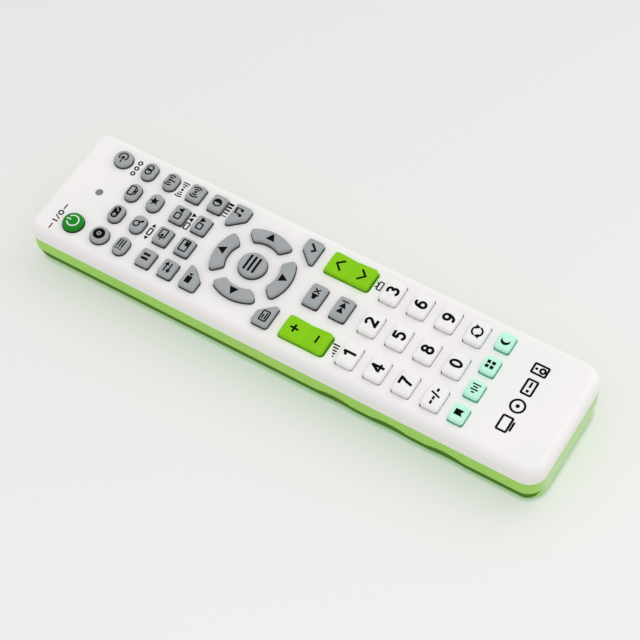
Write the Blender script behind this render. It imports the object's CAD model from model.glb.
import math

import bmesh
import bpy
from mathutils import Matrix, Vector
from mathutils.bvhtree import BVHTree
from mathutils.geometry import delaunay_2d_cdt, tessellate_polygon


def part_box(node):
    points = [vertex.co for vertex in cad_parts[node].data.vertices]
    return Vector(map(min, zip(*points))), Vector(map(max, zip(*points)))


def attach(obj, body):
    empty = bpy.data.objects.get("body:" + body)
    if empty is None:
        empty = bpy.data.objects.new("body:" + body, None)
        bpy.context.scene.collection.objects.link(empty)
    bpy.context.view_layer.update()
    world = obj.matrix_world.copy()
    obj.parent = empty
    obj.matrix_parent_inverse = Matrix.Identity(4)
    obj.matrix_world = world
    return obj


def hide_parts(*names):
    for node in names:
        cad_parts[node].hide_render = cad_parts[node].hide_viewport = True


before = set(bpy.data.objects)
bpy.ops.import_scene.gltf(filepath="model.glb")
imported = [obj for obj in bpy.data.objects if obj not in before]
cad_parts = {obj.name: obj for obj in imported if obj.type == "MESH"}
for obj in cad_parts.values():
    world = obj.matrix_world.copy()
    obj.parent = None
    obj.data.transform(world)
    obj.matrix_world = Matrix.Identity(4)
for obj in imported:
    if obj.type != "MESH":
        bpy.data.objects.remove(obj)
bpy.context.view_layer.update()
mm = 0.001


# Camera: a long lens above the near left side of the remote
cameraSetup = {
    "lens": 108.45,
    "sensor": 36.0,
    "target": (-6.48, -9.14, 20.2),  # point on the front face, in mm
    "azimuth": -53.06,
    "elevation": 57.75,
    "roll": -6.18,
    "distance": 622.84,  # mm
    "clipStart": 0.01,  # m
}


def addObject(name, data):
    thing = bpy.data.objects.new(name, data)
    bpy.context.collection.objects.link(thing)
    return thing


def placeCamera(setup):
    turn = math.radians(setup["azimuth"])
    lift = math.radians(setup["elevation"])
    roll = math.radians(setup["roll"])
    back = Vector((math.sin(turn) * math.cos(lift), -math.cos(turn) * math.cos(lift), math.sin(lift)))
    level = Vector((0, 0, 1)).cross(back).normalized()
    upright = back.cross(level)
    right = math.cos(roll) * level + math.sin(roll) * upright
    up = math.cos(roll) * upright - math.sin(roll) * level
    data = bpy.data.cameras.new("camera")
    data.lens = setup["lens"]
    data.sensor_width = setup["sensor"]
    data.clip_start = setup["clipStart"]
    camera = addObject("camera", data)
    place = (Vector(setup["target"]) + back * setup["distance"]) * mm
    turned = Matrix((right, up, back)).transposed().to_4x4()
    camera.matrix_world = Matrix.Translation(place) @ turned
    bpy.context.scene.camera = camera


placeCamera(cameraSetup)
bpy.context.scene.view_settings.view_transform = "Standard"
print("camera placed")


# Colours are written as they look on screen
def shade(red, green, blue):
    def linear(level):
        level = level / 255
        return level / 12.92 if level <= 0.04045 else ((level + 0.055) / 1.055) ** 2.4

    return (linear(red), linear(green), linear(blue), 1.0)


# Colours of one finish: its own, its patches and its rubbed edges
def dye(colour, patches, edges=None):
    colours = {"colour": shade(*colour), "patchColour": shade(*patches)}
    return dict(colours, edgeColour=shade(*edges)) if edges else colours


def addNode(tree, kind, **settings):
    node = tree.nodes.new(kind)
    for name, value in settings.items():
        setattr(node, name, value)
    return node


def setInputs(node, values):
    for label, value in values.items():
        node.inputs[label].default_value = value


# Group that takes a place and some scales and gives values
def newGroup(name, scales, results):
    tree = bpy.data.node_groups.new(name, "ShaderNodeTree")
    tree.interface.new_socket(name="Vector", in_out="INPUT", socket_type="NodeSocketVector")
    for label, value in scales.items():
        socket = tree.interface.new_socket(name=label, in_out="INPUT", socket_type="NodeSocketFloat")
        socket.default_value = value
    for label in results:
        tree.interface.new_socket(name=label, in_out="OUTPUT", socket_type="NodeSocketFloat")
    return tree, addNode(tree, "NodeGroupInput"), addNode(tree, "NodeGroupOutput")


def mapRange(tree, source, low, high, toLow=0.0, toHigh=1.0):
    node = addNode(tree, "ShaderNodeMapRange")
    setInputs(node, {"From Min": low, "From Max": high, "To Min": toLow, "To Max": toHigh})
    tree.links.new(source, node.inputs["Value"])
    return node.outputs["Result"]


def multiply(tree, first, second):
    both = addNode(tree, "ShaderNodeMath", operation="MULTIPLY")
    tree.links.new(first, both.inputs[0])
    tree.links.new(second, both.inputs[1])
    return both.outputs["Value"]


# Noise of a group, with its scale from one of the group's inputs
def addNoise(tree, given, scale, detail):
    noise = addNode(tree, "ShaderNodeTexNoise")
    noise.inputs["Detail"].default_value = detail
    tree.links.new(given.outputs["Vector"], noise.inputs["Vector"])
    tree.links.new(given.outputs[scale], noise.inputs["Scale"])
    return noise


# Fine grain of a moulded surface, with soft cloudy patches in its colour
grainLook = {
    "grainScale": 4000.0,
    "grainDetail": 3.0,
    "patchScale": 120.0,
    "patchDetail": 4.0,
    "patchSpan": (0.35, 0.68),
}


def makeMouldGrain(look):
    scales = {"Grain Scale": look["grainScale"], "Patch Scale": look["patchScale"]}
    tree, given, result = newGroup("mouldGrain", scales, ("Height", "Patches"))
    fine = addNoise(tree, given, "Grain Scale", look["grainDetail"])
    wide = addNoise(tree, given, "Patch Scale", look["patchDetail"])
    tree.links.new(fine.outputs["Fac"], result.inputs["Height"])
    tree.links.new(mapRange(tree, wide.outputs["Fac"], *look["patchSpan"]), result.inputs["Patches"])
    return tree


# Rubbed edges: a mask that is strongest on sharp outer edges, broken up by noise
rubLook = {
    "breakScale": 900.0,
    "breakDetail": 5.0,
    "breakSpan": (0.35, 0.65, 0.35, 1.0),
    "edgeSpan": (0.52, 0.6),
}


def makeEdgeRub(look):
    tree, given, result = newGroup("edgeRub", {"Break Scale": look["breakScale"]}, ("Mask",))
    geometry = addNode(tree, "ShaderNodeNewGeometry")
    noise = addNoise(tree, given, "Break Scale", look["breakDetail"])
    edge = mapRange(tree, geometry.outputs["Pointiness"], *look["edgeSpan"])
    breakUp = mapRange(tree, noise.outputs["Fac"], *look["breakSpan"])
    tree.links.new(multiply(tree, edge, breakUp), result.inputs["Mask"])
    return tree


# Handling marks: broad smudges that change the gloss
smudgeLook = {"scale": 70.0, "detail": 6.0, "distortion": 0.6, "span": (0.3, 0.7)}


def makeSmudge(look):
    tree, given, result = newGroup("smudge", {"Scale": look["scale"]}, ("Mask",))
    noise = addNoise(tree, given, "Scale", look["detail"])
    noise.inputs["Distortion"].default_value = look["distortion"]
    tree.links.new(mapRange(tree, noise.outputs["Fac"], *look["span"]), result.inputs["Mask"])
    return tree


mouldGrain = makeMouldGrain(grainLook)
edgeRub = makeEdgeRub(rubLook)
smudge = makeSmudge(smudgeLook)


def placeGroup(tree, group, vector, **values):
    node = addNode(tree, "ShaderNodeGroup", node_tree=group)
    tree.links.new(vector, node.inputs["Vector"])
    setInputs(node, values)
    return node


def blendColours(tree, mask, first, second):
    node = addNode(tree, "ShaderNodeMix", data_type="RGBA")
    tree.links.new(mask, node.inputs["Factor"])
    for label, colour in (("A", first), ("B", second)):
        socket = next(s for s in node.inputs if s.name == label and s.type == "RGBA")
        if isinstance(colour, tuple):
            socket.default_value = colour
        else:
            tree.links.new(colour, socket)
    return next(s for s in node.outputs if s.type == "RGBA")


# Where something within reach shelters the surface from the light
shelterLook = {"samples": 8, "span": (0.95, 0.65)}


def shelterMask(tree, reach, span):
    space = addNode(tree, "ShaderNodeAmbientOcclusion", samples=shelterLook["samples"])
    space.inputs["Distance"].default_value = reach
    return mapRange(tree, space.outputs["AO"], *span)


# Where a layer lies: by the way that the surface faces or by its place along an axis, and with a reach
# only where something near shelters it
def layerMask(tree, layer):
    place = addNode(tree, "ShaderNodeTexCoord")
    along = addNode(tree, "ShaderNodeVectorMath", operation="DOT_PRODUCT")
    facing = "facing" in layer
    along.inputs[1].default_value = layer["facing" if facing else "along"]
    tree.links.new(place.outputs["Normal" if facing else "Object"], along.inputs[0])
    value = along.outputs["Value"]
    if "centre" in layer:
        offset = addNode(tree, "ShaderNodeMath", operation="SUBTRACT")
        offset.inputs[1].default_value = layer["centre"]
        size = addNode(tree, "ShaderNodeMath", operation="ABSOLUTE")
        tree.links.new(value, offset.inputs[0])
        tree.links.new(offset.outputs["Value"], size.inputs[0])
        value = size.outputs["Value"]
    mask = mapRange(tree, value, *layer["from"])
    if "until" in layer:
        mask = multiply(tree, mask, mapRange(tree, value, *layer["until"]))
    if "reach" in layer:
        mask = multiply(tree, mask, shelterMask(tree, layer["reach"], shelterLook["span"]))
    return mask


# New material with its nodes, its shader and the place on the object
def newMaterial(name):
    material = bpy.data.materials.new(name)
    material.use_nodes = True
    tree = material.node_tree
    shader = next(n for n in tree.nodes if n.type == "BSDF_PRINCIPLED")
    vector = addNode(tree, "ShaderNodeTexCoord").outputs["Object"]
    return material, tree, shader, vector


# One moulded finish: colour with patches and layers, rubbed edges, smudged gloss and a grain
def mouldedFinish(name, look):
    material, tree, shader, vector = newMaterial(name)
    scales = {"Grain Scale": look["grain"], "Patch Scale": look["patches"]}
    grain = placeGroup(tree, mouldGrain, vector, **scales)
    marks = placeGroup(tree, smudge, vector)
    colour = blendColours(tree, grain.outputs["Patches"], look["colour"], look["patchColour"])
    if "edgeColour" in look:
        rub = placeGroup(tree, edgeRub, vector)
        colour = blendColours(tree, rub.outputs["Mask"], colour, look["edgeColour"])
    for layer in look.get("layers", ()):
        mask = layerMask(tree, layer)
        colour = blendColours(tree, mask, colour, layer["colour"])
        if layer.get("metal"):
            tree.links.new(mask, shader.inputs["Metallic"])
        for label, span in layer.get("sockets", {}).items():
            tree.links.new(mapRange(tree, mask, 0.0, 1.0, *span), shader.inputs[label])
    if "glow" in look:
        rays = addNode(tree, "ShaderNodeLightPath")
        tree.links.new(mapRange(tree, rays.outputs["Is Diffuse Ray"], 0.0, 1.0, 0.0, look["glow"]),
                       shader.inputs["Emission Strength"])
        shader.inputs["Emission Color"].default_value = look["glowColour"]
    tree.links.new(colour, shader.inputs["Base Color"])
    low, high = look["roughness"]
    tree.links.new(mapRange(tree, marks.outputs["Mask"], 0.0, 1.0, low, high), shader.inputs["Roughness"])
    bump = addNode(tree, "ShaderNodeBump")
    setInputs(bump, {"Strength": look["bump"], "Distance": look["depth"] * mm})
    tree.links.new(grain.outputs["Height"], bump.inputs["Height"])
    tree.links.new(bump.outputs["Normal"], shader.inputs["Normal"])
    setInputs(shader, look.get("sockets", {}))
    return material


# Looks that several finishes start from; the depth of the grain is in mm
plasticLook = {"grain": 5200.0, "patches": 45.0, "roughness": (0.26, 0.36), "bump": 0.25, "depth": 0.02}
rubberLook = {"grain": 4200.0, "patches": 160.0, "roughness": (0.5, 0.62), "bump": 0.35, "depth": 0.03}
steelLook = dict(plasticLook, **dye((196, 194, 188), (178, 177, 172), (224, 223, 218)),
                 roughness=(0.2, 0.34), sockets={"Metallic": 1.0})
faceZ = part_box("front_shell")[1].z / mm
wallSpan = (1.1, 0.4)  # mm above the face


# Foot of a key's wall, in the shade of its hole
def wallLayer(*colour):
    span = [(faceZ + height) * mm for height in wallSpan]
    return {"along": (0, 0, 1), "from": span, "colour": shade(*colour)}


def middleOf(name):
    low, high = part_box(name)
    return (low + high) / 2


leanLayer = {
    "facing": (0, 0, 1),
    "from": (-0.12, -0.2),
    "until": (-0.72, -0.6),
    "reach": 50 * mm,
    "colour": shade(86, 128, 50),
    "sockets": {"Specular IOR Level": (0.5, 0.0)},
}  # lower sides of the green shell, which lean in
nearLayer = {
    "facing": (0, -1, 0),
    "from": (0.8, 0.98),
    "colour": shade(160, 205, 97),
    "sockets": {"Coat Weight": (0.0, 1.0)},
}  # near end of the green shell
pinLayer = {
    "along": (0, 1, 0),
    "centre": middleOf("controller_chip").y,
    "from": (2.05 * mm, 2.1 * mm),
    "colour": shade(204, 204, 200),
    "metal": True,
}  # pins of the chip
stripeLayer = {
    "along": (1, 0, 0),
    "centre": middleOf("buffer_capacitor").x,
    "from": (2.1 * mm, 2.15 * mm),
    "colour": shade(206, 210, 214),
}  # stripes down the capacitor's sleeve
canTopLayer = {
    "facing": (0, 0, 1),
    "centre": 0.0,
    "from": (0.8, 0.9),
    "colour": shade(206, 207, 208),
    "metal": True,
}  # top and foot of the capacitor
bandLayer = {
    "along": (0, 1, 0),
    "centre": middleOf("battery_cells").y,
    "from": (13 * mm, 13.1 * mm),
    "colour": shade(196, 146, 88),
}  # bands at the ends of the cells' jackets
cellEndLayer = {
    "facing": (0, 1, 0),
    "centre": 0.0,
    "from": (0.7, 0.8),
    "colour": shade(202, 202, 198),
    "metal": True,
}  # ends of the cells
looks = {
    "whiteCase": dict(plasticLook, **dye((244, 241, 240), (241, 238, 238))),
    "greenCase": dict(plasticLook, **dye((163, 217, 84), (158, 212, 78)), layers=[nearLayer, leanLayer],
                      glow=0.5, glowColour=shade(120, 220, 120)),
    "greyRubber": dict(rubberLook, **dye((161, 165, 167), (157, 161, 163), (178, 182, 184)),
                       layers=[wallLayer(66, 69, 72)]),
    "whiteRubber": dict(rubberLook, **dye((243, 241, 240), (239, 237, 236), (248, 247, 246)),
                        layers=[wallLayer(224, 222, 222)]),
    "mintRubber": dict(rubberLook, **dye((194, 248, 226), (189, 244, 221), (208, 251, 235)),
                       layers=[wallLayer(112, 170, 150)], glow=0.35, glowColour=shade(150, 250, 215)),
    "limeRubber": dict(rubberLook, **dye((136, 205, 10), (131, 200, 9), (190, 238, 44)),
                       layers=[wallLayer(96, 156, 6)], glow=0.5, glowColour=shade(150, 235, 40),
                       sockets={"Specular IOR Level": 0.15}),
    "powerRubber": dict(rubberLook, **dye((11, 137, 27), (9, 131, 23), (30, 162, 47)),
                        layers=[wallLayer(8, 74, 16)], sockets={"Specular IOR Level": 0.2}),
    "blackInk": dict(rubberLook, **dye((6, 6, 7), (11, 11, 12), (14, 14, 15)),
                     sockets={"Specular IOR Level": 0.04}),
    "whiteInk": dict(rubberLook, **dye((236, 242, 234), (226, 236, 224), (244, 246, 242)),
                     roughness=(0.38, 0.5)),
    "smokeLens": dict(plasticLook, **dye((122, 128, 127), (112, 118, 117), (140, 146, 145)),
                      roughness=(0.12, 0.2)),
    "springSteel": steelLook,
    "screwSteel": dict(steelLook, **dye((150, 148, 140), (128, 126, 120))),
    "clearSilicone": dict(rubberLook, **dye((222, 226, 224), (212, 217, 215), (232, 234, 233)),
                          sockets={"Transmission Weight": 0.35}),
    "clearEpoxy": dict(plasticLook, **dye((226, 232, 238), (216, 223, 230), (240, 243, 246)),
                       roughness=(0.05, 0.12), sockets={"Transmission Weight": 0.85}),
    "boardLaminate": dict(plasticLook, **dye((46, 104, 62), (38, 92, 54), (150, 140, 92)),
                          roughness=(0.3, 0.42)),
    "blackEpoxy": dict(rubberLook, **dye((38, 38, 40), (32, 32, 34), (62, 62, 64)), layers=[pinLayer]),
    "canSleeve": dict(plasticLook, **dye((34, 44, 74), (30, 39, 66), (60, 72, 104)),
                      layers=[stripeLayer, canTopLayer]),
    "cellJacket": dict(plasticLook, **dye((52, 56, 60), (46, 50, 54), (84, 88, 92)),
                       layers=[bandLayer, cellEndLayer]),
}
finishes = {name: mouldedFinish(name, look) for name, look in looks.items()}
print("finishes made:", len(finishes))


def polar(radius, angle):
    return radius * Vector((math.cos(angle), math.sin(angle)))


# Plan outlines, in mm, anticlockwise
def roundedPlan(corners, radii, steps=8):
    points = []
    count = len(corners)
    for i in range(count):
        here = Vector(corners[i])
        before = (Vector(corners[i - 1]) - here).normalized()
        after = (Vector(corners[(i + 1) % count]) - here).normalized()
        radius = radii[i]
        if radius <= 0:
            points.append(here)
            continue
        half = before.angle(after) / 2
        centre = here + (before + after).normalized() * radius / math.sin(half)
        start = here + before * radius / math.tan(half) - centre
        end = here + after * radius / math.tan(half) - centre
        first = math.atan2(start.y, start.x)
        sweep = math.remainder(math.atan2(end.y, end.x) - first, 2 * math.pi)
        for k in range(steps + 1):
            points.append(centre + polar(radius, first + sweep * k / steps))
    return points


def circlePlan(radius, steps=48):
    return [polar(radius, 2 * math.pi * k / steps) for k in range(steps)]


def boxPlan(width, height, radius):
    x, y = width / 2, height / 2
    return roundedPlan([(x, -y), (x, y), (-x, y), (-x, -y)], [radius] * 4)


def outset(points, distance):
    moved = []
    count = len(points)
    for i in range(count):
        into = (points[i] - points[i - 1]).normalized()
        out = (points[(i + 1) % count] - points[i]).normalized()
        first = Vector((into.y, -into.x))
        second = Vector((out.y, -out.x))
        moved.append(points[i] + (first + second) * distance / (1 + first.dot(second)))
    return moved


def splitRuns(points, pitch):
    split = []
    for i, here in enumerate(points):
        after = points[(i + 1) % len(points)]
        parts = 2 * math.ceil((after - here).length / (2 * pitch))
        split += [here.lerp(after, k / parts) for k in range(parts)]
    return split


# Mesh building, in mm until the mesh is made
def addLoop(bm, points, height):
    return [bm.verts.new((p.x, p.y, height(p) if callable(height) else height)) for p in points]


def joinLoops(bm, loops):
    for first, second in zip(loops, loops[1:]):
        count = len(first)
        for i in range(count):
            j = (i + 1) % count
            bm.faces.new((first[i], first[j], second[j], second[i]))


def fillLoops(bm, loops):
    verts = [v for loop in loops for v in loop]
    flat = [[Vector((v.co.x, v.co.y, 0)) for v in loop] for loop in loops]
    for triangle in tessellate_polygon(flat):
        bm.faces.new([verts[k] for k in triangle])
    for loop in loops:
        for i, vert in enumerate(loop):
            bm.edges.get((loop[i - 1], vert)).smooth = False


sharpAngle = math.radians(35)  # edges that bend more than this stay crisp


def finishMesh(bm, name, materials, body, node):
    bmesh.ops.recalc_face_normals(bm, faces=bm.faces[:])
    bmesh.ops.scale(bm, vec=(mm, mm, mm), verts=bm.verts[:])
    for face in bm.faces:
        face.smooth = True
    for edge in bm.edges:
        if edge.is_manifold and edge.calc_face_angle() > sharpAngle:
            edge.smooth = False
    mesh = bpy.data.meshes.new(name)
    bm.to_mesh(mesh)
    bm.free()
    for material in materials:
        mesh.materials.append(finishes[material])
    piece = addObject(name, mesh)
    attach(piece, body)
    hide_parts(node)


# Printed marks: flat shapes in mm, each a list of loops with the outside first
inkLine = 0.5
digitLine = 0.95
markSteps = {"disc": 32, "ring": 40}


def polygon(*points):
    return [[Vector(p) for p in points]]


def bar(x, y, width, height):
    a, b = width / 2, height / 2
    return polygon((x + a, y - b), (x + a, y + b), (x - a, y + b), (x - a, y - b))


def moved(loop, x, y):
    return [p + Vector((x, y)) for p in loop]


def disc(x, y, radius):
    return [moved(circlePlan(radius, markSteps["disc"]), x, y)]


def ring(x, y, radius, line=inkLine):
    steps = markSteps["ring"]
    return [moved(circlePlan(radius + side * line / 2, steps), x, y) for side in (1, -1)]


def boxRing(x, y, width, height, line=inkLine, radius=0.3):
    return [moved(boxPlan(width + side * line, height + side * line, radius + side * line / 2), x, y)
            for side in (1, -1)]


def wedge(x, y, size, angle):
    turn = Matrix.Rotation(math.radians(angle), 2)
    corners = ((0, 0.54), (-0.55, -0.42), (0.55, -0.42))
    return [[turn @ Vector(c) * size + Vector((x, y)) for c in corners]]


def bowl(x, y, across, along, start, end, steps=24):
    angles = (math.radians(start + (end - start) * k / steps) for k in range(steps + 1))
    return [Vector((x + across * math.cos(a), y + along * math.sin(a))) for a in angles]


def arcLine(x, y, radius, start, end, steps=16):
    return bowl(x, y, radius, radius, start, end, steps)


def stroke(points, width):
    points = [Vector(p) for p in points]
    left, right = [], []
    for i, here in enumerate(points):
        into = (here - points[i - 1]).normalized() if i else None
        out = (points[i + 1] - here).normalized() if i + 1 < len(points) else None
        into = into or out
        out = out or into
        first = Vector((-into.y, into.x))
        second = Vector((-out.y, out.x))
        side = (first + second) * width / 2 / (1 + first.dot(second))
        left.append(here + side)
        right.append(here - side)
    return [right + left[::-1]]


def arrow(x, y, length, line, angle):
    turn = Matrix.Rotation(math.radians(angle), 2)
    middle = Vector((x, y))
    tail = turn @ Vector((-length / 2, 0)) + middle
    neck = turn @ Vector((length / 2 - 2 * line, 0)) + middle
    tip = turn @ Vector((length / 2 - 1.5 * line, 0)) + middle
    return [stroke([tail, neck], line), wedge(tip.x, tip.y, 3.2 * line, angle - 90)]


def crossLoop(x, y, size, line):
    a, b = size / 2, line / 2
    corners = (
        (a, -b), (a, b), (b, b), (b, a), (-b, a), (-b, b),
        (-a, b), (-a, -b), (-b, -b), (-b, -a), (b, -a), (b, -b),
    )
    return [Vector((x + p, y + q)) for p, q in corners]


def waves(x, y, radii, spread, line):
    return [stroke(arcLine(x, y, r, a - spread, a + spread, 10), line) for r in radii for a in (0, 180)]


def gearMark():
    teeth = 8
    gear = []
    for k in range(4 * teeth):
        radius = 0.95 if k % 4 < 2 else 0.68
        gear.append(polar(radius, 2 * math.pi * k / (4 * teeth)))
    return [[circlePlan(2.1, 40), gear], disc(0, 0, 0.36)]


def gamePadMark():
    buttons = [moved(circlePlan(0.34, 16), x, y) for x, y in ((0.75, -0.3), (1.5, 0.35))]
    return [[boxPlan(4.7, 2.5, 1.2), crossLoop(-1.1, 0, 1.4, 0.45), *buttons]]


def listMark():
    rows = (0.95, 0, -0.95)
    return [disc(-1.8, y, 0.32) for y in rows] + [bar(0.5, y, 3.3, inkLine) for y in rows]


def starMark():
    radii = (1.85, 0.78)
    points = []
    for k in range(10):
        angle = k * math.pi / 5
        points.append(radii[k % 2] * Vector((math.sin(angle), math.cos(angle))))
    return [[points[::-1]]]


def noteMark():
    heads = [disc(-0.9, -1.0, 0.6), disc(1.2, -0.75, 0.6)]
    stems = [bar(-0.5, 0.2, 0.4, 2.4), bar(1.6, 0.4, 0.4, 2.3)]
    return heads + stems + [stroke([(-0.7, 1.15), (1.8, 1.4)], 0.7)]


def muteMark():
    horn = polygon((-1.8, -0.65), (-0.9, -0.65), (0.15, -1.5), (0.15, 1.5), (-0.9, 0.65), (-1.8, 0.65))
    return [horn] + [stroke([(0.6, -y), (2.3, y)], inkLine) for y in (1.0, -1.0)]


def circlingMark():
    upper = stroke(arcLine(0, 0, 1.75, 30, 165), 0.65)
    lower = stroke(arcLine(0, 0, 1.75, 210, 345), 0.65)
    return [upper, lower, wedge(1.6, 0.5, 1.7, 190), wedge(-1.6, -0.5, 1.7, 10)]


def chevronMark(middle):
    low, high = middle - 1.1, middle + 1.1
    return [stroke([(-2.1, s * low), (0, s * high), (2.1, s * low)], 0.72) for s in (1, -1)]


# Digits, drawn with one bold line
def eye(x, y, across, along):
    half = digitLine / 2
    return [bowl(x, y, across + s * half, along + s * half, 0, 360, 40)[:-1] for s in (1, -1)]


def drawn(*points):
    return stroke(points, digitLine)


def sixMark():
    return [eye(0, -0.75, 1.05, 1.1), drawn(*bowl(0.3, -0.65, 1.35, 2.5, 62, 180))]


digitMarks = {
    "0": [eye(0, 0, 1.05, 1.85)],
    "1": [drawn((0.45, -2.3), (0.45, 2.3)), drawn((0.5, 1.7), (-0.95, 0.9))],
    "2": [drawn(*bowl(0, 0.85, 1.05, 1.0, 170, -38), (-1.0, -1.8)), bar(0, -1.87, 3.0, digitLine)],
    "3": [drawn(*bowl(-0.1, 0.95, 0.95, 0.9, 155, -90)),
          drawn(*bowl(-0.1, -0.85, 1.12, 1.0, 90, -155))],
    "4": [drawn((0.5, 1.9), (-1.15, -0.7)), bar(0, -0.85, 3.1, 0.8), bar(0.5, 0, digitLine, 4.6)],
    "5": [bar(0.15, 1.87, 2.3, digitLine), drawn((-0.75, 2.0), (-1.0, 0.1)),
          drawn(*bowl(0, -0.65, 1.1, 1.2, 142, -155))],
    "6": sixMark(),
    "7": [bar(0, 1.87, 3.0, digitLine), drawn((1.05, 1.75), (0.1, -0.2), (-0.35, -2.3))],
    "8": [eye(0, 0.97, 0.9, 0.88), eye(0, -0.85, 1.07, 1.0)],
    "9": [[[-p for p in loop] for loop in shape] for shape in sixMark()],
}

# Marks of all the keys, each about the middle of its sign
arrowTurns = {"up_key": 0, "left_key": 90, "down_key": 180, "right_key": 270}
rockerMiddle = 4.3  # from the crease to the sign at either end
keyMarks = {
    "power_key": [stroke(arcLine(0, -0.1, 2.05, 120, 420, 40), 0.4), stroke([(0, 0.6), (0, 2.4)], 0.4)],
    "source_key": [stroke(arcLine(0.35, 0, 1.5, -140, 140, 28), inkLine), *arrow(-0.7, 0, 3.1, 0.45, 0)],
    "setup_key": gearMark(),
    "game_key": gamePadMark(),
    "computer_key": [boxRing(0, 0.4, 3.6, 2.0), bar(0, -0.9, 0.7, 0.5),
                     bar(0, -1.3, 2.6, inkLine)],
    "stereo_key": [ring(x, 0, 1.05) for x in (-0.8, 0.8)],
    "program_key": listMark(),
    "zoom_key": [ring(-0.45, 0.35, 1.05), stroke([(0.3, -0.4), (1.5, -1.55)], 0.75)],
    "favourite_key": starMark(),
    "radio_key": [*waves(0, 0.45, (1.15, 2.05), 40, 0.45), disc(0, 0.45, 0.5),
                  bar(0, -0.7, inkLine, 1.9)],
    "still_key": [bar(x, 0, 0.95, 2.6) for x in (-0.85, 0.85)],
    "inset_source_key": [boxRing(0.5, 0, 3.3, 2.3), *arrow(-0.8, 0, 2.8, 0.42, 0)],
    "inset_up_key": [boxRing(-1.05, 0, 2.2, 2.0), wedge(1.5, 0, 2.1, 0)],
    "surround_key": [*waves(0, 0, (1.15, 2.05), 48, inkLine), disc(0, 0, 0.5)],
    "swap_key": [*arrow(0.1, 0.75, 4.0, inkLine, 0), *arrow(-0.1, -0.75, 4.0, inkLine, 180)],
    "inset_key": [boxRing(0, 0, 4.3, 2.7), bar(0.85, -0.45, 1.8, 1.2)],
    "inset_down_key": [boxRing(-1.05, 0, 2.2, 2.0), wedge(1.5, 0, 2.1, 180)],
    "picture_key": [ring(0, 0, 1.35), [arcLine(0, 0, 1.4, -90, 90)]],
    "video_key": [[moved(boxPlan(2.7, 2.0, 0.3), -0.5, 0)], polygon((0.9, 0), (1.9, -0.85), (1.9, 0.85))],
    "sound_key": noteMark(),
    "display_key": [boxRing(0, 0, 3.8, 2.4), bar(-0.4, 0.45, 1.8, inkLine),
                    bar(0, -0.5, 2.6, inkLine)],
    "ok_key": [stroke([(-1.5, 0.1), (-0.4, -1.0), (1.6, 1.3)], 0.75)],
    "menu_key": [bar(0, y, 6.2, 0.85) for y in (1.7, 0, -1.7)],
    **{name: [wedge(0, 0, 3.0, turn)] for name, turn in arrowTurns.items()},
    "volume_rocker": [[crossLoop(0, rockerMiddle, 3.0, 0.72)], bar(0, -rockerMiddle, 3.0, 0.72)],
    "channel_rocker": chevronMark(rockerMiddle),
    "mute_key": muteMark(),
    "scan_key": [wedge(-1.2, 0, 2.3, -90), wedge(0.9, 0, 2.3, -90), bar(2.5, 0, inkLine, 2.5)],
    **{f"digit_{k}_key": marks for k, marks in digitMarks.items()},
    "digit_count_key": [bar(-2.45, 0, 1.3, 0.8), bar(-0.75, 0, 1.3, 0.8),
                        stroke([(0.1, -1.7), (1.25, 1.7)], 0.65), bar(2.4, 0, 1.3, 0.8)],
    "recall_key": circlingMark(),
    "preset_key": [polygon((-1.1, -1.5), (0, -0.7), (1.1, -1.5), (1.1, 1.5), (-1.1, 1.5))],
    "audio_key": [bar(-1.5 + k, 0, inkLine, tall) for k, tall in enumerate((1.1, 2.6, 1.7, 2.9))],
    "mode_key": [bar(x, y, 1.2, 1.2) for x in (-0.85, 0.85) for y in (-0.85, 0.85)],
    "sleep_key": [[arcLine(0, 0, 1.6, 60, 300, 28) + arcLine(0.85, 0, 1.4, 270, 90, 24)]],
}


# Four plain outlines of devices: a screen, a disc player, a tuner and a loudspeaker
def devicesSign():
    bold = 0.75
    screen = [boxRing(-11.0, 0.6, 5.4, 3.4, bold), bar(-11.0, -2.0, 3.6, bold)]
    player = [ring(-3.6, 0, 2.35, bold), disc(-3.6, 0, 0.7)]
    tuner = [boxRing(4.1, 0, 5.6, 3.4, bold), disc(2.6, 0, 0.55), bar(5.1, 0, 2.2, bold)]
    speaker = [boxRing(11.3, 0, 3.6, 4.9, bold), ring(11.3, -0.9, 0.85, bold), disc(11.3, 1.3, 0.5)]
    return screen + player + tuner + speaker


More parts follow.
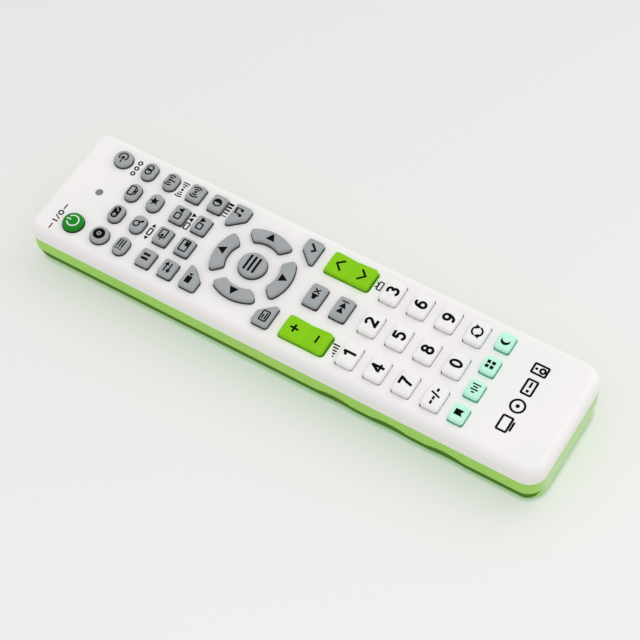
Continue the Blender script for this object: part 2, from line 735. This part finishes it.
# Plain signs on the face beside the keys that they belong to, placed from the middle of the menu key
faceSigns = {
    "onOff": {
        "middle": (-15.0, 68.7),
        "marks": [bar(-4.4, 0, 2.2, 0.45), bar(-1.9, 0, inkLine, 2.1),
                  stroke([(-0.9, -1.05), (0.3, 1.05)], 0.4), ring(1.7, 0, 0.8),
                  bar(4.4, 0, 2.2, 0.45)],
    },
    "sockets": {
        "middle": (14.5, 56.7),
        "marks": [ring(x, 0, 0.68) for x in (-2.4, 0, 2.4)],
    },
    "widen": {
        "middle": (-5.0, 37.85),
        "marks": [boxRing(0, 0, 2.6, 1.3, radius=0.2), wedge(-2.7, 0, 1.5, 90),
                  wedge(2.7, 0, 1.5, -90)],
    },
    "air": {
        "middle": (14.75, 37.95),
        "marks": [*waves(0, 0, (1.2, 2.1, 3.0), 26, 0.45), disc(0, 0, 0.5)],
    },
    "step": {
        "middle": (4.9, 28.4),
        "marks": [boxRing(-1.9, 0, 2.6, 1.4, 0.45, 0.2), wedge(1.0, 0.1, 1.7, 0),
                  wedge(2.9, -0.1, 1.7, 180)],
    },
    "tone": {
        "middle": (15.1, 19.75),
        "marks": [bar(-2.6 + 1.3 * k, 0, 0.35 + 0.14 * k, 1.7) for k in range(5)],
    },
    "loud": {
        "middle": (-14.0, -40.0),
        "marks": [bar(-2.1 + 1.05 * k, -1.0 + 0.25 * (k + 1), 0.55, 0.5 * (k + 1)) for k in range(5)],
    },
    "aerial": {
        "middle": (14.3, -40.0),
        "marks": [boxRing(0, -0.35, 3.2, 1.4, 0.45, 0.2),
                  stroke([(-1.1, 1.15), (0, 0.25), (1.1, 1.15)], 0.4)],
    },
    "devices": {"middle": (0.7, -100.5), "marks": devicesSign()},
}


def inside(loop, spot):
    odd = False
    for i, here in enumerate(loop):
        before = loop[i - 1]
        if (here.y > spot.y) != (before.y > spot.y):
            reach = here.x + (before.x - here.x) * (spot.y - here.y) / (before.y - here.y)
            odd = odd != (spot.x < reach)
    return odd


def covered(shapes, spot):
    for outside, *holes in shapes:
        if inside(outside, spot) and not any(inside(hole, spot) for hole in holes):
            return True
    return False


inkLook = {"proud": 0.03, "sunk": 0.03, "pitch": 0.8, "fit": 1e-5, "dropFrom": 1000, "slot": 1}
weld = 0.0005  # mm, points closer than this are one


# One flat sheet of all the shapes, joined where they overlap
def shapeSheet(shapes):
    points, edges = [], []
    for loop in (loop for loops in shapes for loop in loops):
        start = len(points)
        points += loop
        edges += [(start + k, start + (k + 1) % len(loop)) for k in range(len(loop))]
    spots, _, faces, *_ = delaunay_2d_cdt(points, edges, [], 1, inkLook["fit"])
    sheet = bmesh.new()
    verts = [sheet.verts.new((p.x, p.y, 0)) for p in spots]
    for face in faces:
        middle = sum((spots[k] for k in face), Vector((0, 0))) / len(face)
        if covered(shapes, middle):
            sheet.faces.new([verts[k] for k in face])
    bmesh.ops.delete(sheet, geom=[v for v in verts if not v.link_faces], context="VERTS")
    return sheet


def gridCut(sheet, pitch):
    for axis in (0, 1):
        places = [v.co[axis] for v in sheet.verts]
        normal = Vector((1, 0, 0)) if axis == 0 else Vector((0, 1, 0))
        for k in range(math.ceil(min(places) / pitch), math.floor(max(places) / pitch) + 1):
            everything = sheet.verts[:] + sheet.edges[:] + sheet.faces[:]
            bmesh.ops.bisect_plane(sheet, geom=everything, plane_co=normal * k * pitch, plane_no=normal)


# Lays a flat sheet of marks on a surface as a thin closed solid of ink
def layInk(bm, sheet, place):
    bmesh.ops.remove_doubles(sheet, verts=sheet.verts[:], dist=weld)
    gridCut(sheet, inkLook["pitch"])
    for face in sheet.faces:
        face.normal_update()
        if face.normal.z < 0:
            face.normal_flip()
    under = bmesh.ops.extrude_face_region(sheet, geom=sheet.faces[:])["geom"]
    sunk = {v for v in under if isinstance(v, bmesh.types.BMVert)}
    surface = BVHTree.FromBMesh(bm)
    down = Vector((0, 0, -1))
    for v in sheet.verts:
        spot = Vector((v.co.x + place.x, v.co.y + place.y, inkLook["dropFrom"]))
        hit = surface.ray_cast(spot, down)[0]
        lift = -inkLook["sunk"] if v in sunk else inkLook["proud"]
        v.co = hit + Vector((0, 0, lift))
    bmesh.ops.recalc_face_normals(sheet, faces=sheet.faces[:])
    for face in sheet.faces:
        face.material_index = inkLook["slot"]
    loose = bpy.data.meshes.new("ink")
    sheet.to_mesh(loose)
    sheet.free()
    bm.from_mesh(loose)
    bpy.data.meshes.remove(loose)


# Keys, in mm: each family gives its plan, its edge, its rubber and its keys
keyAction = {
    "lip": 0.85,
    "lipThick": 0.8,
    "lipDrop": 1.8,
    "gap": 0.15,
    "rockerGap": 0.5,
    "holeCorner": 0.45,
    "edgeSteps": 6,
    "crownShares": (0.12, 0.3, 0.55, 0.8),
    "spineAcross": 0.9,
    "spineAlong": 0.98,
    "ovalFlat": 0.01,
}
ringPlan = {"inner": 9.6, "outer": 14.4, "slot": 4.7, "stops": 14, "cornerRoom": 1.6, "cornerSteps": 6}
ringMiddle = (ringPlan["inner"] + ringPlan["outer"]) / 2
cutPlan = {"alongX": 4.2, "alongY": 4.8, "tipRadii": (0.55, 0.5), "sign": (-0.9, 0.55)}
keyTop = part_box("menu_key")[1].z / mm - inkLook["proud"]
greyKey = {"rubber": "greyRubber", "slot": "grey_rubber", "ink": "blackInk"}
keyFamilies = {
    "power": {
        "plan": "round", "edge": (1.1, 1.1), "crown": 0.3, "keys": ("power_key",),
        "rubber": "powerRubber", "slot": "power_rubber", "ink": "whiteInk",
    },
    "round": {
        **greyKey, "plan": "round", "edge": (0.8, 0.9), "crown": 0.2, "keys": ("source_key", "setup_key"),
    },
    "menu": {
        **greyKey, "plan": "round", "edge": (0.7, 0.8), "crown": 0.15, "keys": ("menu_key",),
    },
    "oval": {
        **greyKey, "plan": "oval", "edge": (0.75, 0.8), "crown": 0.2,
        "keys": ("game_key", "computer_key", "stereo_key", "program_key", "zoom_key", "favourite_key",
                 "radio_key"),
    },
    "block": {
        **greyKey, "plan": "block", "corner": 1.1, "edge": (0.65, 0.75), "crown": 0.15,
        "keys": ("still_key", "inset_source_key", "inset_up_key", "surround_key", "swap_key", "inset_key",
                 "inset_down_key", "picture_key", "mute_key", "scan_key"),
    },
    "cut": {
        **greyKey, "plan": "cut", "corner": 1.0, "edge": (0.45, 0.7), "crown": 0.15,
        "keys": {"video_key": (1, 1), "sound_key": (-1, 1), "display_key": (1, -1), "ok_key": (-1, -1)},
    },
    "arc": {
        **greyKey, "plan": "arc", "corner": 1.1, "edge": (0.6, 0.75), "crown": 0.15, "keys": arrowTurns,
    },
    "rocker": {
        "plan": "rocker", "corner": 1.3, "edge": (0.7, 0.8), "crown": 0.1,
        "dip": 0.7, "flatEnd": 1, "crease": 0.35, "creaseHalf": 0.9, "pitch": 0.6,
        "keys": ("volume_rocker", "channel_rocker"),
        "rubber": "limeRubber", "slot": "lime_rubber", "ink": "blackInk",
    },
    "number": {
        "plan": "block", "corner": 1.25, "edge": (0.75, 0.9), "crown": 0.2, "gap": 0.09,
        "keys": (*(f"digit_{k}_key" for k in digitMarks), "digit_count_key", "recall_key"),
        "rubber": "whiteRubber", "slot": "white_rubber", "ink": "blackInk",
    },
    "mint": {
        "plan": "block", "corner": 1.1, "edge": (0.65, 0.75), "crown": 0.15,
        "keys": ("preset_key", "audio_key", "mode_key", "sleep_key"),
        "rubber": "mintRubber", "slot": "mint_rubber", "ink": "blackInk",
    },
}  # a cut key comes with the sides that its tip lies towards, an arrow key with its turn


# Middle and size of the part of a key that stands in its hole
def capBox(name, family):
    low, high = (corner.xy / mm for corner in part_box(name))
    lip = keyAction["lip"]
    lips = Vector((2 * lip, 0 if family["plan"] == "rocker" else 2 * lip))
    return (low + high) / 2, high - low - lips


# Plan of an arrow key that points up: two arcs, two straight ends beside the slots, round corners
def arcKeyPlan(corner):
    count = ringPlan["stops"]
    points, radii = [], []
    for radius, order in ((ringPlan["outer"], 1), (ringPlan["inner"], -1)):
        first = math.pi / 4 + math.asin(ringPlan["slot"] / 2 / radius)
        start = first + ringPlan["cornerRoom"] * corner / radius
        run = math.pi - 2 * start
        stops = [first, *(start + run * k / count for k in range(count + 1)), math.pi - first]
        points += [polar(radius, angle) for angle in stops[::order]]
        radii += [corner, *[0] * (count + 1), corner]
    return roundedPlan(points, radii, ringPlan["cornerSteps"])


def keyPlan(name, family, size):
    x, y = size.x / 2, size.y / 2
    if family["plan"] == "round":
        return circlePlan(x)
    if family["plan"] == "oval":
        return boxPlan(size.x, size.y, y - keyAction["ovalFlat"])
    if family["plan"] == "cut":
        sideX, sideY = family["keys"][name]
        corners = [(x - cutPlan["alongX"], -y), (x, cutPlan["alongY"] - y), (x, y), (-x, y), (-x, -y)]
        radii = [family["corner"], *cutPlan["tipRadii"], family["corner"], family["corner"]]
        corners = [(sideX * a, sideY * b) for a, b in corners]
        order = 1 if sideX * sideY > 0 else -1
        return roundedPlan(corners[::order], radii[::order])
    if family["plan"] == "arc":
        turn = Matrix.Rotation(math.radians(family["keys"][name]), 2)
        return [turn @ p for p in arcKeyPlan(family["corner"])]
    if family["plan"] == "rocker":
        return splitRuns(boxPlan(size.x, size.y, family["corner"]), family["pitch"])
    return boxPlan(size.x, size.y, family["corner"])


# Point of the key's middle line nearest to a point of its plan: the crown rises towards it
def keySpine(point, name, family, size):
    if family["plan"] == "arc":
        half = (ringPlan["outer"] - ringPlan["inner"]) / 2
        spread = math.pi / 4 - (ringPlan["slot"] / 2 + half) / ringMiddle
        front = math.radians(90 + family["keys"][name])
        swing = math.remainder(math.atan2(point.y, point.x) - front, 2 * math.pi)
        angle = front + max(-spread, min(spread, swing))
        return polar(ringMiddle, angle)
    spare = (size.x - size.y) / 2
    if spare >= 0:
        return Vector((max(-spare, min(spare, point.x)) * keyAction["spineAcross"], 0))
    return Vector((0, max(spare, min(-spare, point.y)) * keyAction["spineAlong"]))


# Outlines and their heights, from the lip under the face up to the crown
def keyRings(name, family, plan, size):
    (inset, drop), crown = family["edge"], family["crown"]
    lipTop = faceZ - keyAction["lipDrop"]
    rings = []
    if family["plan"] != "rocker":
        lip = outset(plan, keyAction["lip"])
        rings += [(lip, lipTop - keyAction["lipThick"]), (lip, lipTop)]
    rings.append((plan, lipTop))
    steps = keyAction["edgeSteps"]
    for k in range(steps + 1):
        angle = math.pi / 2 * k / steps
        level = keyTop - crown - drop * (1 - math.sin(angle))
        rings.append((outset(plan, -inset * (1 - math.cos(angle))), level))
    rim = rings[-1][0]
    for share in keyAction["crownShares"]:
        inner = [p.lerp(keySpine(p, name, family, size), share) for p in rim]
        rings.append((inner, keyTop - crown * (1 - share) ** 2))
    return rings


# How much lower the top lies at a point: a rocker has a valley with a crease across its middle
def topDip(point, family, size):
    if family["plan"] != "rocker":
        return 0
    slope = family["dip"] * (1 - min(1, abs(point.y) / (size.y / 2 - family["flatEnd"])))
    return slope + family["crease"] * max(0, 1 - abs(point.y) / family["creaseHalf"])


# Where the middle of a key's sign lies
def signPlace(name, family):
    if family["plan"] == "arc":
        turn = Matrix.Rotation(math.radians(family["keys"][name]), 2)
        return turn @ Vector((0, ringMiddle))
    if family["plan"] == "cut":
        sideX, sideY = family["keys"][name]
        x, y = cutPlan["sign"]
        return Vector((x * sideX, y * sideY))
    return Vector((0, 0))


def keyHole(plan, family, size):
    gap = family.get("gap", keyAction["gap"])
    if family["plan"] == "rocker":
        return boxPlan(size.x + 2 * gap, size.y + 2 * keyAction["rockerGap"], family["corner"])
    if family["plan"] == "block":
        return boxPlan(size.x + 2 * gap, size.y + 2 * gap, family["corner"] - keyAction["holeCorner"])
    return outset(plan, gap)


def buildKey(name, family):
    middle, size = capBox(name, family)
    if family["plan"] == "arc":
        middle = capBox("menu_key", keyFamilies["menu"])[0]
    plan = keyPlan(name, family, size)
    bm = bmesh.new()
    loops = []
    for loop, level in keyRings(name, family, plan, size):
        dips = level > faceZ
        loops.append(addLoop(bm, loop, lambda p: level - (topDip(p, family, size) if dips else 0)))
    joinLoops(bm, loops)
    fillLoops(bm, loops[:1])
    fillLoops(bm, loops[-1:])
    bmesh.ops.remove_doubles(bm, verts=bm.verts[:], dist=weld)
    layInk(bm, shapeSheet(keyMarks[name]), signPlace(name, family))
    bmesh.ops.translate(bm, vec=middle.to_3d(), verts=bm.verts[:])
    finishMesh(bm, name + "_cap", [family["rubber"], family["ink"]], name, name)
    return moved(keyHole(plan, family, size), middle.x, middle.y)


keyHoles = []
for family in keyFamilies.values():
    for name in family["keys"]:
        keyHoles.append(buildKey(name, family))
print("keys built:", len(keyHoles))


# White front shell, in mm: rounded rim, flat face, a soft lip round every hole
caseLook = {
    "nearCorner": 6.5,
    "farCorner": 4.2,
    "cornerSteps": 14,
    "rim": 3.0,
    "rimSteps": 12,
    "rimMargin": 0.1,
    "whiteSide": 7.1,
    "wall": 2.0,
    "faceWall": 1.6,
    "splitEdge": 0.2,
    "holeLip": 0.22,
    "lipSteps": 3,
    "lipMargin": 0.06,
    "lightGap": 0.15,
    "lightFlange": 0.4,
    "lightSteps": 32,
    "diodeBore": 2.65,
    "boreSteps": 16,
}


# Outline of the case, with points along the far end for the arch over the diode
def casePlan(look):
    low, high = (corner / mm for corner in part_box("front_shell"))
    corners = [(high.x, low.y), (high.x, high.y), (low.x, high.y), (low.x, low.y)]
    near, far, steps = look["nearCorner"], look["farCorner"], look["cornerSteps"]
    plan = roundedPlan(corners, [near, far, far, near], steps)
    angles = (math.pi * k / look["boreSteps"] for k in range(look["boreSteps"] + 1))
    arch = [Vector((look["diodeBore"] * math.cos(a), high.y)) for a in angles]
    farLeft = 2 * (steps + 1)  # first point of the third corner
    return plan[:farLeft] + arch + plan[farLeft:]


# Quarter round from an outline up to the face: how far in or out and how high each step lies
def quarterRound(radius, steps):
    angles = (math.pi / 2 * k / steps for k in range(steps + 1))
    return [(radius * (1 - math.cos(a)), faceZ - radius * (1 - math.sin(a))) for a in angles]


def buildFrontShell(look, holes):
    plan = casePlan(look)
    splitZ = faceZ - look["whiteSide"]
    underZ = faceZ - look["faceWall"]
    soft, bore = look["splitEdge"], look["diodeBore"]
    bm = bmesh.new()

    def lowEdge(p, lift=0.0):
        atBore = p.y > 0 and abs(p.x) < bore
        return splitZ + max(lift, math.sqrt(bore ** 2 - p.x ** 2) if atBore else 0)

    rings = [(outset(plan, -look["wall"]), underZ), (outset(plan, -look["wall"]), lowEdge)]
    rings += [(outset(plan, -soft), lowEdge), (plan, lambda p: lowEdge(p, soft))]
    for inset, level in quarterRound(look["rim"], look["rimSteps"]):
        rings.append((outset(plan, -inset), level))
    rings.append((outset(plan, -look["rim"] - look["rimMargin"]), faceZ))
    loops = [addLoop(bm, loop, level) for loop, level in rings]
    joinLoops(bm, loops)
    tops, unders = [loops[-1]], [loops[0]]
    lip = quarterRound(look["holeLip"], look["lipSteps"])
    for hole in holes:
        levels = [(hole, underZ)] + [(outset(hole, spread), level) for spread, level in lip]
        levels.append((outset(hole, look["holeLip"] + look["lipMargin"]), faceZ))
        walls = [addLoop(bm, loop, level) for loop, level in levels]
        joinLoops(bm, walls)
        unders.append(walls[0])
        tops.append(walls[-1])
    fillLoops(bm, tops)
    fillLoops(bm, unders)
    menu = middleOf("menu_key") / mm
    for sign in faceSigns.values():
        x, y = sign["middle"]
        layInk(bm, shapeSheet(sign["marks"]), Vector((x, y + menu.y)))
    finishMesh(bm, "front_cover", ["whiteCase", "blackInk"], "case", "front_shell")


def lightHole(look):
    low, high = (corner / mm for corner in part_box("indicator_light"))
    radius = (high.x - low.x) / 2 - look["lightFlange"] + look["lightGap"]
    return moved(circlePlan(radius, look["lightSteps"]), 0, (low.y + high.y) / 2)


buildFrontShell(caseLook, keyHoles + [lightHole(caseLook)])
print("front shell built")


# Contact springs, in mm: a round wire wound inward from its plate to the cell, as in the solids
springLook = {"outer": 7.2, "top": 5.2, "wire": 0.55, "length": 4.7, "turns": 4, "steps": 28, "sides": 12}


def springPoint(share, look):
    radius = (look["outer"] * (1 - share) + look["top"] * share - look["wire"]) / 2
    angle = 2 * math.pi * look["turns"] * share
    along = look["wire"] / 2 + share * (look["length"] - look["wire"])
    return Vector((radius * math.cos(angle), along, radius * math.sin(angle)))


def addSpring(bm, look, place, turn):
    count = look["turns"] * look["steps"]
    loops = []
    for k in range(count + 1):
        here = springPoint(k / count, look)
        before, after = (springPoint((k + side) / count, look) for side in (-0.5, 0.5))
        heading = (after - before).normalized()
        out = Vector((here.x, 0, here.z)).normalized()
        side = heading.cross(out)
        loop = []
        for s in range(look["sides"]):
            angle = 2 * math.pi * s / look["sides"]
            spot = here + look["wire"] / 2 * (math.cos(angle) * out + math.sin(angle) * side)
            loop.append(bm.verts.new(place + turn @ spot))
        loops.append(loop)
    joinLoops(bm, loops)
    for loop in (loops[0], loops[-1]):
        bm.faces.new(loop)


def buildSprings(look):
    low, high = (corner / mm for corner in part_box("battery_cells"))
    springLow, springHigh = (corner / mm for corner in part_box("contact_springs"))
    cellX = (high.x - low.x - (high.z - low.z)) / 2
    cellZ = (low.z + high.z) / 2
    bm = bmesh.new()
    addSpring(bm, look, Vector((-cellX, springLow.y, cellZ)), Matrix.Identity(3))
    addSpring(bm, look, Vector((cellX, springHigh.y, cellZ)), Matrix.Rotation(math.pi, 3, "Z"))
    finishMesh(bm, "cell_springs", ["springSteel"], "case", "contact_springs")


buildSprings(springLook)
print("springs wound")


# Pieces that keep their own solids and only take a finish
nodeFinishes = {
    "back_shell": "greenCase",
    "battery_door": "greenCase",
    "indicator_light": "smokeLens",
    "circuit_board": "boardLaminate",
    "keypad_sheet": "clearSilicone",
    "infrared_diode": "clearEpoxy",
    "controller_chip": "blackEpoxy",
    "buffer_capacitor": "canSleeve",
    "battery_cells": "cellJacket",
    "contact_plates": "springSteel",
    "case_screws": "screwSteel",
}
for name, finish in nodeFinishes.items():
    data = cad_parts[name].data
    data.materials.clear()
    data.materials.append(finishes[finish])
print("other pieces finished:", len(nodeFinishes))


# Pale floor, one soft lamp and a pale sky
stageLook = {
    "size": 6.0,  # m
    "sky": 0.88,
    "floor": shade(234, 232, 230),
    "floorPatch": shade(232, 230, 228),
    "grain": {"Grain Scale": 1500.0, "Patch Scale": 9.0},
    "sockets": {"Roughness": 0.6, "Specular IOR Level": 0.2},
    "seen": shade(192, 191, 190),
    "farShine": (0.275, 0.268, 0.268, 1.0),
    "nearShine": (0.375, 0.362, 0.364, 1.0),
    "shineSpan": {"along": (-0.8, -0.6, 0), "from": (-0.16, 0.16)},
    "footShine": (0.04, 0.06, 0.04, 1.0),  # in the narrow shade right under the edge of the case
    "footReach": 2 * mm,
    "footSpan": (0.85, 0.42),
}


# Card that takes a soft shadow; to the camera it also shines a little, as a lit backdrop does
def paleFloor(look):
    material, tree, shader, vector = newMaterial("paleFloor")
    grain = placeGroup(tree, mouldGrain, vector, **look["grain"])
    rays = addNode(tree, "ShaderNodeLightPath")
    card = blendColours(tree, grain.outputs["Patches"], look["floor"], look["floorPatch"])
    colour = blendColours(tree, rays.outputs["Is Camera Ray"], card, look["seen"])
    tree.links.new(colour, shader.inputs["Base Color"])
    setInputs(shader, look["sockets"])
    shine = blendColours(tree, layerMask(tree, look["shineSpan"]), look["farShine"], look["nearShine"])
    foot = shelterMask(tree, look["footReach"], look["footSpan"])
    shine = blendColours(tree, foot, shine, look["footShine"])
    tree.links.new(shine, shader.inputs["Emission Color"])
    tree.links.new(rays.outputs["Is Camera Ray"], shader.inputs["Emission Strength"])
    return material


def makeStage(look):
    bm = bmesh.new()
    bmesh.ops.create_grid(bm, x_segments=2, y_segments=2, size=look["size"] / 2)
    mesh = bpy.data.meshes.new("floor")
    bm.to_mesh(mesh)
    bm.free()
    floor = addObject("floor", mesh)
    mesh.materials.append(paleFloor(look))
    world = bpy.data.worlds.new("sky")
    bpy.context.scene.world = world
    world.use_nodes = True
    background = next(n for n in world.node_tree.nodes if n.type == "BACKGROUND")
    setInputs(background, {"Color": (1, 1, 1, 1), "Strength": look["sky"]})


windowLamp = {"place": (0.66, -0.38, 0.8), "size": 0.9, "power": 2.4}  # metres and watts


def makeLamp(name, setup):
    data = bpy.data.lights.new(name, "AREA")
    data.size = setup["size"]
    data.energy = setup["power"]
    lamp = addObject(name, data)
    lamp.location = setup["place"]
    lamp.rotation_euler = (-Vector(setup["place"])).to_track_quat("-Z", "Y").to_euler()


makeStage(stageLook)
makeLamp("window", windowLamp)
print("stage and lamp set")
